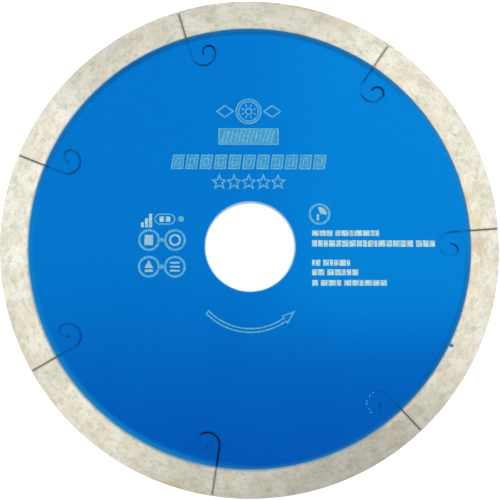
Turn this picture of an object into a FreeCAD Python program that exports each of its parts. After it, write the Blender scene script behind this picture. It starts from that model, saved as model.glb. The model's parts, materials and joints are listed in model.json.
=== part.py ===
import FreeCAD, Part
import os

# A diamond cutting disc for an angle grinder. A thin steel core has a bore for the machine's
# spindle, and its edge is thinned to a tongue. The sintered diamond rim is pressed on as a fork
# whose two lips grip the tongue, and it stands proud of the core on both faces. Relief slots are
# cut through rim and core together. Each runs straight in from the edge and ends in a hook, so the
# rim is left as separate segments, each bonded to the core between two slots.
# The origin is the centre of the bore, halfway through the disc. +Z runs along the bore, out of the
# front face, and the disc lies flat on the lower faces of its rim.

# Rim
DISC_DIAMETER = 125.0
RIM_HEIGHT = 7.2
RIM_THICKNESS = 1.6
RIM_CORNER_BEVEL = 0.15
LIP_BEVEL = 0.12

# Core
CORE_THICKNESS = 1.2
TONGUE_THICKNESS = 0.8
TONGUE_LENGTH = 2.0
BORE_DIAMETER = 22.23
BORE_CHAMFER = 0.2

# Relief slots. The first is this many degrees from +X, and the others follow anticlockwise.
SLOT_COUNT = 7
FIRST_SLOT_ANGLE = 4.2
SLOT_WIDTH = 0.3
HOOK_INSET = 5.0
BEND_RADIUS = 3.05
CURL_RADIUS = 1.55
PIERCE_DIAMETER = 0.6
CUTTER_OVERRUN = 1.0

# Sizes that follow from these
DISC_RADIUS = DISC_DIAMETER / 2
LIP_RADIUS = DISC_RADIUS - RIM_HEIGHT
TONGUE_RADIUS = LIP_RADIUS + TONGUE_LENGTH
BORE_RADIUS = BORE_DIAMETER / 2
HALF_RIM = RIM_THICKNESS / 2
HALF_CORE = CORE_THICKNESS / 2
HALF_TONGUE = TONGUE_THICKNESS / 2
SLOT_PITCH = 360.0 / SLOT_COUNT
HOOK_RADIUS = LIP_RADIUS - HOOK_INSET

CENTRE = FreeCAD.Vector(0, 0, 0)
BORE_AXIS = FreeCAD.Vector(0, 0, 1)


def line(start, end):
    """Straight edge between two points."""
    return Part.LineSegment(start, end).toShape()


def arc(start, middle, end):
    """Round edge through three points."""
    return Part.Arc(start, middle, end).toShape()


def section_point(radius, height):
    """Point of a cross-section, by its distance from the bore's axis and its height."""
    return FreeCAD.Vector(radius, 0, height)


def plan_point(outwards, across):
    """Point of a slot's outline, in the disc's plane, with the slot running in along X."""
    return FreeCAD.Vector(outwards, across, 0)


def turned(section_edges, start_angle, sweep):
    """Solid made by turning a closed cross-section about the bore's axis."""
    section = Part.Face(Part.Wire(section_edges))
    section.rotate(CENTRE, BORE_AXIS, start_angle)
    return section.revolve(CENTRE, BORE_AXIS, sweep)


def closed(corners):
    """Closed outline of straight edges through the corners in turn."""
    return [line(start, end) for start, end in zip(corners, corners[1:] + corners[:1])]


def mirrored(front_half):
    """Corners of a section that is the same on both faces, given those of its front half."""
    back_half = [section_point(corner.x, -corner.z) for corner in reversed(front_half)]
    return front_half + back_half


def core_section():
    """Cross-section of the core: a plate chamfered at the bore, with a tongue round its edge."""
    return closed(mirrored([
        section_point(BORE_RADIUS, HALF_CORE - BORE_CHAMFER),
        section_point(BORE_RADIUS + BORE_CHAMFER, HALF_CORE),
        section_point(LIP_RADIUS, HALF_CORE),
        section_point(LIP_RADIUS, HALF_TONGUE),
        section_point(TONGUE_RADIUS, HALF_TONGUE),
    ]))


def rim_section():
    """Cross-section of the rim: a fork with bevelled lips that grip the core's tongue."""
    return closed(mirrored([
        section_point(TONGUE_RADIUS, HALF_TONGUE),
        section_point(LIP_RADIUS, HALF_TONGUE),
        section_point(LIP_RADIUS, HALF_RIM - LIP_BEVEL),
        section_point(LIP_RADIUS + LIP_BEVEL, HALF_RIM),
        section_point(DISC_RADIUS - RIM_CORNER_BEVEL, HALF_RIM),
        section_point(DISC_RADIUS, HALF_RIM - RIM_CORNER_BEVEL),
    ]))


def half_turn(across, radius, bulge, way):
    """Half circle of a hook, about the point of the hook's line at across.

    bulge is 1 towards the disc's edge and -1 towards the bore, and way is 1 or -1 for the
    direction in which it runs across the slot."""
    return arc(
        plan_point(HOOK_RADIUS, across - way * radius),
        plan_point(HOOK_RADIUS + bulge * radius, across),
        plan_point(HOOK_RADIUS, across + way * radius),
    )


def slot_cutter(angle):
    """Solid that cuts one relief slot: the straight run, the hook's bend and curl, and the hole
    where the cut was started."""
    half_width = SLOT_WIDTH / 2
    mouth = DISC_RADIUS + CUTTER_OVERRUN
    bend = -BEND_RADIUS
    curl = CURL_RADIUS - 2 * BEND_RADIUS
    end = curl + CURL_RADIUS
    outline = [
        line(plan_point(mouth, half_width), plan_point(HOOK_RADIUS, half_width)),
        half_turn(bend, BEND_RADIUS + half_width, -1, -1),
        half_turn(curl, CURL_RADIUS + half_width, 1, 1),
        line(plan_point(HOOK_RADIUS, end + half_width), plan_point(HOOK_RADIUS, end - half_width)),
        half_turn(curl, CURL_RADIUS - half_width, 1, -1),
        half_turn(bend, BEND_RADIUS - half_width, -1, 1),
        line(plan_point(HOOK_RADIUS, -half_width), plan_point(mouth, -half_width)),
        line(plan_point(mouth, -half_width), plan_point(mouth, half_width)),
    ]
    bottom = -HALF_RIM - CUTTER_OVERRUN
    depth = RIM_THICKNESS + 2 * CUTTER_OVERRUN
    cut = Part.Face(Part.Wire(outline)).extrude(FreeCAD.Vector(0, 0, depth))
    pierce = Part.makeCylinder(PIERCE_DIAMETER / 2, depth, plan_point(HOOK_RADIUS, end))
    cutter = cut.fuse(pierce)
    cutter.translate(FreeCAD.Vector(0, 0, bottom))
    cutter.rotate(CENTRE, BORE_AXIS, angle)
    return cutter


def slot_angle(index):
    """Direction of a slot's straight run, in degrees from +X."""
    return FIRST_SLOT_ANGLE + index * SLOT_PITCH


def steel_core():
    """The core, slotted all round. Its turning starts midway between two slots."""
    plate = turned(core_section(), slot_angle(0.5), 360.0)
    return plate.cut([slot_cutter(slot_angle(index)) for index in range(SLOT_COUNT)])


def rim_segment(index):
    """One arc of the rim, from one slot to the next."""
    sector = turned(rim_section(), slot_angle(index), SLOT_PITCH)
    return sector.cut([slot_cutter(slot_angle(index)), slot_cutter(slot_angle(index + 1))])


def main():
    """Write each piece of the disc to its own file."""
    pieces = {"steel_core": steel_core()}
    for index in range(SLOT_COUNT):
        pieces[f"rim_segment_{index + 1}"] = rim_segment(index)
    os.makedirs("parts", exist_ok=True)
    for name, piece in pieces.items():
        solid = piece.Solids[0]
        solid.exportStep(f"parts/{name}.step")
        print(f"{name}: {len(piece.Solids)} solid, {solid.Volume:.1f} cubic mm")


main()
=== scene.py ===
"""Dresses a diamond cutting disc: enamelled core, sintered rim, front print and a plain studio."""

import json
import logging
import math
from dataclasses import dataclass, field
from enum import Enum
from typing import Optional, Union

import bmesh
import bpy
import numpy as np
from mathutils import Matrix, Vector


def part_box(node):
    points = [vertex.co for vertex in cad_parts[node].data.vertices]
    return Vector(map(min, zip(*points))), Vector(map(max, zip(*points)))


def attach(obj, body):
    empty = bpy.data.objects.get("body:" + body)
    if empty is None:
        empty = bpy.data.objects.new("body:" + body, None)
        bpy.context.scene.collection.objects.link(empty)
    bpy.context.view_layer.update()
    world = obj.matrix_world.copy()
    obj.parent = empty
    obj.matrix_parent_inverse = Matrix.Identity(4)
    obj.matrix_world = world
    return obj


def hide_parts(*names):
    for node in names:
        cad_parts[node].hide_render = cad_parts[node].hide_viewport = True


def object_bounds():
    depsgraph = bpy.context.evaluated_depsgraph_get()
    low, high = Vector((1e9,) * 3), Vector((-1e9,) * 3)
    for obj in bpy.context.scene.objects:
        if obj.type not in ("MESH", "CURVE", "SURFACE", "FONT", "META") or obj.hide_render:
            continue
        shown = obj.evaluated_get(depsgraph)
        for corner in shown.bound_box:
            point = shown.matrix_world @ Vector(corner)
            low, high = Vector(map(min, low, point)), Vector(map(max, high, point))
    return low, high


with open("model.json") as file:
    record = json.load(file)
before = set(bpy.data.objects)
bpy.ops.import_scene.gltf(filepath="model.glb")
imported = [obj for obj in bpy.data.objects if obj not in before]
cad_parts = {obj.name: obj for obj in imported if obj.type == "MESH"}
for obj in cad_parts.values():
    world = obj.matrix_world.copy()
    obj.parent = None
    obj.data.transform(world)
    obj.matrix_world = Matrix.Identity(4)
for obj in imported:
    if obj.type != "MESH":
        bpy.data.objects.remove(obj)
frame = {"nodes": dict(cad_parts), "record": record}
CAD_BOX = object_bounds()

LOG = logging.getLogger("cutting_disc")
MM = 0.001
BODY = "root"
HOLLOW = "hollow"
# Attribute with the share of painted shade in and beside the slots.
SLOT_SHADE = "slot_shade"

Socket = bpy.types.NodeSocket
Value = Union[float, bpy.types.NodeSocket]
Triple = tuple[float, float, float]
Colour = Triple
Tint = Union[Colour, bpy.types.NodeSocket]
Point = tuple[float, float]
Box = tuple[float, float, float, float]


class RecordSlot(Enum):
    """Material slots that the record gives the disc."""

    BLUE_ENAMEL = "blue_enamel"
    SINTERED_RIM = "sintered_rim"


@dataclass(frozen=True)
class DiscSizes:
    """Sizes that the sub-assemblies share, in metres and radians."""

    disc_radius: float
    half_rim: float
    half_core: float
    bore_radius: float
    slot_count: int
    rim_height: float = 7.2 * MM
    rim_corner_bevel: float = 0.15 * MM
    lip_bevel: float = 0.12 * MM
    tongue_length: float = 2.0 * MM
    half_tongue: float = 0.4 * MM
    slot_width: float = 0.3 * MM
    first_slot_angle: float = math.radians(4.2)
    hook_inset: float = 5.0 * MM
    bend_radius: float = 3.05 * MM
    curl_radius: float = 1.55 * MM

    @classmethod
    def from_frame(cls) -> "DiscSizes":
        """Takes the outer sizes from the CAD model.

        Returns:
            The sizes of this disc.
        """
        lowest, highest = CAD_BOX
        mounts = frame["record"]["mounts"]
        bore = next(mount for mount in mounts if mount["name"] == "bore")
        segments = [name for name in frame["nodes"] if name.startswith("rim_segment_")]
        return cls(
            disc_radius=(highest.x - lowest.x) / 2,
            half_rim=highest.z,
            half_core=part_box("steel_core")[1].z,
            bore_radius=bore["dims"]["r_mm"] * MM,
            slot_count=len(segments),
        )

    @property
    def lip_radius(self) -> float:
        """Radius where the rim's lips start, proud of the core."""
        return self.disc_radius - self.rim_height

    @property
    def slot_pitch(self) -> float:
        """Angle from one slot to the next."""
        return math.tau / self.slot_count

    def slot_angle(self, index: int) -> float:
        """Direction of a slot's straight run, anticlockwise from +X."""
        return self.first_slot_angle + index * self.slot_pitch


class NodeGraph:
    """Node tree of a material or the world, with one call for each kind of node in use."""

    def __init__(self, tree: bpy.types.NodeTree) -> None:
        """Empties the tree."""
        self.tree = tree
        self.tree.nodes.clear()

    @classmethod
    def of_material(cls, name: str) -> tuple[bpy.types.Material, "NodeGraph"]:
        """Starts a new material.

        Args:
            name: The material's name.

        Returns:
            The material, and the graph of its nodes.
        """
        material = bpy.data.materials.new(name)
        material.use_nodes = True
        return material, cls(material.node_tree)

    def node(self, kind: str, **settings: object) -> bpy.types.Node:
        """Adds a node.

        Args:
            kind: Type of the node.
            settings: Properties to set on it.

        Returns:
            The new node.
        """
        node = self.tree.nodes.new(kind)
        for key, value in settings.items():
            setattr(node, key, value)
        return node

    def feed(self, socket: Socket, value: object) -> None:
        """Links a socket to another one, or sets its own number or colour.

        Args:
            socket: The input to feed.
            value: A socket, a number, a vector or a colour.
        """
        if isinstance(value, bpy.types.NodeSocket):
            self.tree.links.new(value, socket)
        elif socket.type == "RGBA":
            socket.default_value = (*value, 1.0)
        else:
            socket.default_value = value

    def fed(self, node: bpy.types.Node, **inputs: object) -> "bpy.types.NodeOutputs":
        """Feeds a node's inputs by name.

        Args:
            node: The node.
            inputs: What each input is fed, with underscores for the spaces in its name.

        Returns:
            The node's outputs.
        """
        for key, value in inputs.items():
            self.feed(node.inputs[key.replace("_", " ")], value)
        return node.outputs

    def math(self, operation: str, first: Value, second: Value = 0.0) -> Socket:
        """Works one sum.

        Args:
            operation: Name of the sum.
            first: First number.
            second: Second number, where the sum has one.

        Returns:
            The result.
        """
        node = self.node("ShaderNodeMath", operation=operation)
        self.feed(node.inputs[0], first)
        self.feed(node.inputs[1], second)
        return node.outputs[0]

    def vector(self, operation: str, *inputs: object) -> "bpy.types.NodeOutputs":
        """Works one vector sum.

        Args:
            operation: Name of the sum.
            inputs: Its vectors, in their order.

        Returns:
            The node's outputs, Vector and Value.
        """
        node = self.node("ShaderNodeVectorMath", operation=operation)
        for socket, value in zip(node.inputs, inputs):
            self.feed(socket, value)
        return node.outputs

    def scaled(self, vector: Socket, factor: float) -> Socket:
        """Vector with all its parts multiplied by a factor."""
        node = self.node("ShaderNodeVectorMath", operation="SCALE")
        return self.fed(node, Vector=vector, Scale=factor)["Vector"]

    def split(self, vector: Socket) -> "bpy.types.NodeOutputs":
        """The three parts of a vector."""
        return self.fed(self.node("ShaderNodeSeparateXYZ"), Vector=vector)

    def joined(self, east: Value, north: Value, rise: Value = 0.0) -> Socket:
        """Vector made of three parts."""
        return self.fed(self.node("ShaderNodeCombineXYZ"), X=east, Y=north, Z=rise)["Vector"]

    def span(self, value: Value, low: float, high: float, start: float = 0.0,
             end: float = 1.0) -> Socket:
        """Runs smoothly from one number to another while a value crosses a range.

        Args:
            value: The value that crosses.
            low: Where the range starts.
            high: Where it ends.
            start: Result at the start of the range and before it.
            end: Result at its end and beyond.

        Returns:
            The result.
        """
        node = self.node("ShaderNodeMapRange", interpolation_type="SMOOTHSTEP")
        return self.fed(node, Value=value, From_Min=low, From_Max=high, To_Min=start,
                        To_Max=end)["Result"]

    def mix(self, factor: Value, first: Tint, second: Tint, blend: str = "MIX") -> Socket:
        """Mixes two colours.

        Args:
            factor: Share of the second colour.
            first: First colour.
            second: Second colour.
            blend: How they mix.

        Returns:
            The mixed colour.
        """
        node = self.node("ShaderNodeMix", data_type="RGBA", blend_type=blend)
        sockets = {socket.identifier: socket for socket in node.inputs}
        self.feed(sockets["Factor_Float"], factor)
        self.feed(sockets["A_Color"], first)
        self.feed(sockets["B_Color"], second)
        return next(out for out in node.outputs if out.identifier == "Result_Color")

    def noise(self, place: Socket, grain: float, detail: float = 2.0,
              roughness: float = 0.5) -> Socket:
        """Soft seedless noise around one half.

        Args:
            place: Position in millimetres.
            grain: Size of one patch, in millimetres.
            detail: How many finer layers are added.
            roughness: How strong they are.

        Returns:
            The noise.
        """
        node = self.node("ShaderNodeTexNoise")
        return self.fed(node, Vector=place, Scale=1.0 / grain, Detail=detail,
                        Roughness=roughness)[0]

    def cells(self, place: Socket, grain: float) -> tuple[Socket, Socket]:
        """Scattered cells: the distance in grains from the nearest centre, and its own colour."""
        outputs = self.fed(self.node("ShaderNodeTexVoronoi"), Vector=place, Scale=1.0 / grain)
        return outputs["Distance"], outputs["Color"]

    def warped(self, place: Socket, grain: float, reach: float) -> Socket:
        """Place pushed about by noise, so that what is laid out on it loses its even shape."""
        noise = self.fed(self.node("ShaderNodeTexNoise"), Vector=place, Scale=1.0 / grain)
        return self.vector("MULTIPLY_ADD", noise[1], (2 * reach,) * 3, place)["Vector"]

    def bump(self, height: Value, distance: float, below: Optional[Socket] = None) -> Socket:
        """Tilts the surface by a height.

        Args:
            height: Height, from 0 to 1.
            distance: How far 1 stands up, in metres.
            below: Normal of an earlier bump.

        Returns:
            The tilted normal.
        """
        node = self.node("ShaderNodeBump")
        if below is not None:
            self.feed(node.inputs["Normal"], below)
        return self.fed(node, Height=height, Distance=distance)[0]

    def surface(self, **inputs: object) -> None:
        """Ends a material in a principled surface with these inputs."""
        self.show(self.fed(self.node("ShaderNodeBsdfPrincipled"), **inputs)[0])

    def show(self, shader: Socket) -> None:
        """Ends a material in any shader."""
        self.fed(self.node("ShaderNodeOutputMaterial"), Surface=shader)


@dataclass(frozen=True)
class Mark:
    """Soft-edged mark on the front of the disc, placed round the bore in millimetres and degrees."""

    angle: float
    radius: float
    along: float
    across: float
    colour: Colour
    strength: float = 1.0


@dataclass(frozen=True)
class Stretch:
    """Stretch of the ring in another shade, in degrees to each side of its middle."""

    angle: float
    even_to: float
    gone_by: float
    tint: Colour
    strength: float = 1.0


class DiscPlace:
    """Where a surface point lies on the disc, as node sockets in millimetres."""

    rim_middle: float = 58.0

    def __init__(self, graph: NodeGraph) -> None:
        """Adds the nodes that work the place out.

        Args:
            graph: Graph of the material.
        """
        self.graph = graph
        source = graph.node("ShaderNodeTexCoord")
        self.facing = source.outputs["Normal"]
        self.place = graph.scaled(source.outputs["Object"], 1.0 / MM)
        self.east, self.north, self.height = graph.split(self.place)
        self.flat = graph.joined(self.east, self.north)
        self.radius = graph.vector("LENGTH", self.flat)["Value"]
        self.outward = graph.vector("NORMALIZE", self.flat)["Vector"]

    def steepness(self) -> Socket:
        """1 on walls, 0 on the two flat faces."""
        upright = self.graph.math("ABSOLUTE", self.graph.split(self.facing)[2])
        return self.graph.span(upright, 0.35, 0.65, 1.0, 0.0)

    def drawn_round(self, stretch: float) -> Socket:
        """Place in which noise comes out longer round the disc than across the rim.

        Args:
            stretch: How many times longer.

        Returns:
            The place, in millimetres across the rim.
        """
        ring = self.graph.scaled(self.outward, self.rim_middle / stretch)
        rise = self.graph.joined(0.0, 0.0, self.graph.math("ADD", self.radius, self.height))
        return self.graph.vector("ADD", ring, rise)["Vector"]

    def across_slot(self) -> Socket:
        """Finds where the surface faces along the rim, as a slot's walls do.

        Returns:
            1 there, and 0 elsewhere.
        """
        turned = self.graph.vector("CROSS_PRODUCT", self.outward, (0.0, 0.0, 1.0))["Vector"]
        aligned = self.graph.vector("DOT_PRODUCT", turned, self.facing)["Value"]
        return self.graph.span(self.graph.math("ABSOLUTE", aligned), 0.6, 0.9)

    def reach(self, stretch: Stretch) -> Socket:
        """Share of a stretch at each point round the bore.

        Args:
            stretch: The stretch.

        Returns:
            The share, from 0 to the stretch's strength.
        """
        turn = math.radians(stretch.angle)
        middle = (math.cos(turn), math.sin(turn), 0.0)
        swing = self.graph.math("ARCCOSINE",
                                self.graph.vector("DOT_PRODUCT", self.outward, middle)["Value"])
        return self.graph.span(swing, math.radians(stretch.even_to), math.radians(stretch.gone_by),
                               stretch.strength, 0.0)

    def mask(self, mark: Mark, ragged: Socket, raggedness: float = 0.7) -> Socket:
        """Share of a mark at each point, on the front face and the edge.

        Args:
            mark: The mark.
            ragged: Noise that breaks up its outline.
            raggedness: How much it does so.

        Returns:
            The share, from 0 to the mark's strength.
        """
        turn = math.radians(mark.angle)
        local = self.graph.fed(
            self.graph.node("ShaderNodeMapping", vector_type="TEXTURE"),
            Vector=self.flat,
            Location=(mark.radius * math.cos(turn), mark.radius * math.sin(turn), 0.0),
            Rotation=(0.0, 0.0, turn),
            Scale=(mark.across, mark.along, 1.0),
        )
        length = self.graph.vector("LENGTH", local["Vector"])["Value"]
        shift = self.graph.math("MULTIPLY", self.graph.math("SUBTRACT", ragged, 0.5), raggedness)
        share = self.graph.span(self.graph.math("ADD", length, shift), 0.35, 1.15, mark.strength, 0.0)
        return self.graph.math("MULTIPLY", share, self.graph.span(self.height, -0.3, 0.0))


@dataclass(frozen=True)
class BlueEnamel:
    """Satin enamel sprayed on the core, worn thin round the bore to steel, with painted light and
    shade.
    """

    sizes: DiscSizes
    # Painted shade and light: the coat runs from the lower, darker blue to the upper one, lightest at
    # the upper right.
    painted_shade_blue: Colour = (0.0, 0.092, 0.455)
    light: Colour = (0.0, 0.176, 0.60)
    painted_highlight_blue: Colour = (0.0, 0.212, 0.65)
    # Darker blue of paint gathered in flecks and by the lip, also used as painted shadow of the lip.
    pooled_and_shaded: Colour = (0.0, 0.055, 0.21)
    # Painted light: a lighter band where light comes off the lip.
    painted_lip_light: Colour = (0.0, 0.20, 0.57)
    # Painted shade of the lip's step, with grime, at the foot of the lip.
    lip_foot_shade_and_grime: Colour = (0.03, 0.19, 0.34)
    shaded_slot_wall: Colour = (0.004, 0.022, 0.065)
    # Painted shade of the slots: the dark blue that the slot paint turns to.
    slot_shade: Colour = (0.004, 0.012, 0.030)
    # Bare steel round the bore is made pale bluish, a painted reflection; thinned is paint left on
    # it.
    thinned: Colour = (0.42, 0.77, 1.0)
    steel_with_painted_reflection: Colour = (0.56, 0.82, 1.0)
    sheen: Colour = (0.08, 0.5, 1.0)
    roughness: float = 0.44
    thin_from_bore: Point = (0.04, 0.50)
    band_before_lip: Point = (1.75, 0.65)
    shade_and_grime_before_lip: float = 1.05
    slot_walls_from: float = 30.0
    scuff_slant: float = 33.0
    scuff_squeeze: Triple = (0.05, 1.6, 1.0)

    def material(self) -> bpy.types.Material:
        """Makes the finish.

        Returns:
            The material.
        """
        material, graph = NodeGraph.of_material("blue_enamel")
        spot = DiscPlace(graph)
        bare_from, bare_to = (self.sizes.bore_radius / MM + step for step in self.thin_from_bore)
        ragged = graph.math("MULTIPLY", graph.noise(spot.place, 0.5), 0.12)
        worn = graph.math("ADD", spot.radius, ragged)
        bare = graph.span(worn, bare_from, bare_to, 1.0, 0.0)
        wear = graph.noise(spot.place, 0.35, 3.0)
        scuffs = graph.span(self.scuff(spot), 0.62, 0.75, 0.0, 0.08)
        satin = graph.math("ADD", graph.span(wear, 0.2, 0.8, self.roughness - 0.05,
                                             self.roughness + 0.05), scuffs)
        peel = graph.bump(graph.noise(spot.place, 1.1, 1.0), 0.006 * MM)
        lines = graph.bump(graph.noise(self.turning(spot), 0.06, 1.0), 0.004 * MM, peel)
        graph.surface(
            Base_Color=graph.mix(bare, self.painted(spot), self.steel(spot)),
            Metallic=graph.math("MULTIPLY", bare, 0.2),
            Roughness=graph.math("ADD", satin, graph.math("MULTIPLY", bare, -0.12)),
            Specular_IOR_Level=0.3,
            Specular_Tint=self.sheen,
            Normal=lines,
        )
        return material

    def lip_bands(self) -> tuple[Stretch, ...]:
        """Bands at the rim's lip: painted lip shadow over paint gathered there, and one of painted
        light.

        Returns:
            The stretches.
        """
        return (
            Stretch(90.0, 28.0, 58.0, self.pooled_and_shaded, 0.58),
            Stretch(138.0, 12.0, 34.0, self.pooled_and_shaded, 0.25),
            Stretch(338.0, 14.0, 30.0, self.pooled_and_shaded, 0.38),
            Stretch(214.0, 34.0, 60.0, self.painted_lip_light, 0.90),
        )

    def coat(self, spot: DiscPlace) -> Socket:
        """Uneven enamel colour, with painted shade low down and a painted highlight at the upper
        right.

        Args:
            spot: Place on the disc.

        Returns:
            The colour.
        """
        graph = spot.graph
        cloud = graph.math("MULTIPLY", graph.noise(spot.place, 22.0, 1.0), 12.0)
        # Painted shade: darker towards the lower edge, broken up by large noise.
        painted_falloff = graph.math("ADD", spot.north, cloud)
        coat = graph.mix(graph.span(painted_falloff, -52.0, 11.0), self.painted_shade_blue, self.light)
        # Painted highlight: lighter at the upper right.
        right = graph.span(spot.east, -5.0, 22.0)
        upper = graph.span(spot.north, -30.0, -5.0)
        coat = graph.mix(graph.math("MULTIPLY", right, upper), coat, self.painted_highlight_blue)
        fine = graph.span(graph.noise(spot.place, 0.8, 3.0, 0.6), 0.3, 0.7, 0.0, 0.09)
        return graph.mix(fine, coat, self.pooled_and_shaded)

    def painted(self, spot: DiscPlace) -> Socket:
        """Colour of the core's faces, with painted light and shade at the lip and painted shade by
        slots.

        Args:
            spot: Place on the disc.

        Returns:
            The colour.
        """
        graph = spot.graph
        coat = self.coat(spot)
        lip = self.sizes.lip_radius / MM
        near_lip = graph.span(spot.radius, *(lip - step for step in self.band_before_lip))
        # Painted shadow of the lip over gathered paint, and a band of painted light, near the lip.
        for band in self.lip_bands():
            share = graph.math("MULTIPLY", near_lip, spot.reach(band))
            coat = graph.mix(share, coat, band.tint)
        gap = Stretch(160.0, 34.0, 62.0, self.lip_foot_shade_and_grime, 0.6)
        # Painted shade of the lip's step, with grime, darkens the paint just inside the lip, except
        # on one stretch.
        lip_foot_shade_and_grime = graph.span(spot.radius, lip - self.shade_and_grime_before_lip, lip, 0.0, 0.60)
        lip_foot_shade_and_grime = graph.math("MULTIPLY", lip_foot_shade_and_grime, graph.math("SUBTRACT", 1.0, spot.reach(gap)))
        coat = graph.mix(lip_foot_shade_and_grime, coat, self.lip_foot_shade_and_grime)
        # Painted shade in and beside the slots, from the slot paint's point attribute.
        slot_shade_share = graph.node("ShaderNodeAttribute", attribute_name=SLOT_SHADE)
        coat = graph.mix(slot_shade_share.outputs["Fac"], coat, self.slot_shade)
        # Painted shade: the core's slot walls take a near-black blue.
        outer = graph.span(spot.radius, self.slot_walls_from, self.slot_walls_from + 1.0)
        walls = graph.math("MULTIPLY", spot.steepness(), outer)
        return graph.mix(walls, coat, self.shaded_slot_wall)

    def steel(self, spot: DiscPlace) -> Socket:
        """Colour of the bore's steel, pale as a painted reflection, with a breath of paint left in
        places.
        """
        left = spot.graph.span(spot.graph.noise(spot.place, 2.5, 3.0), 0.4, 0.6)
        return spot.graph.mix(left, self.steel_with_painted_reflection, self.thinned)

    def turning(self, spot: DiscPlace) -> Socket:
        """Place squeezed so that noise on it runs in rings, as turning marks do."""
        return spot.graph.joined(spot.radius, spot.height)

    def scuff(self, spot: DiscPlace) -> Socket:
        """Faint slanted streaks of handling wear.

        Args:
            spot: Place on the disc.

        Returns:
            Noise drawn out along the streaks.
        """
        streaks = spot.graph.fed(
            spot.graph.node("ShaderNodeMapping"),
            Vector=spot.place,
            Rotation=(0.0, 0.0, math.radians(self.scuff_slant)),
            Scale=self.scuff_squeeze,
        )
        return spot.graph.noise(streaks["Vector"], 1.0, 3.0, 0.6)


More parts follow.
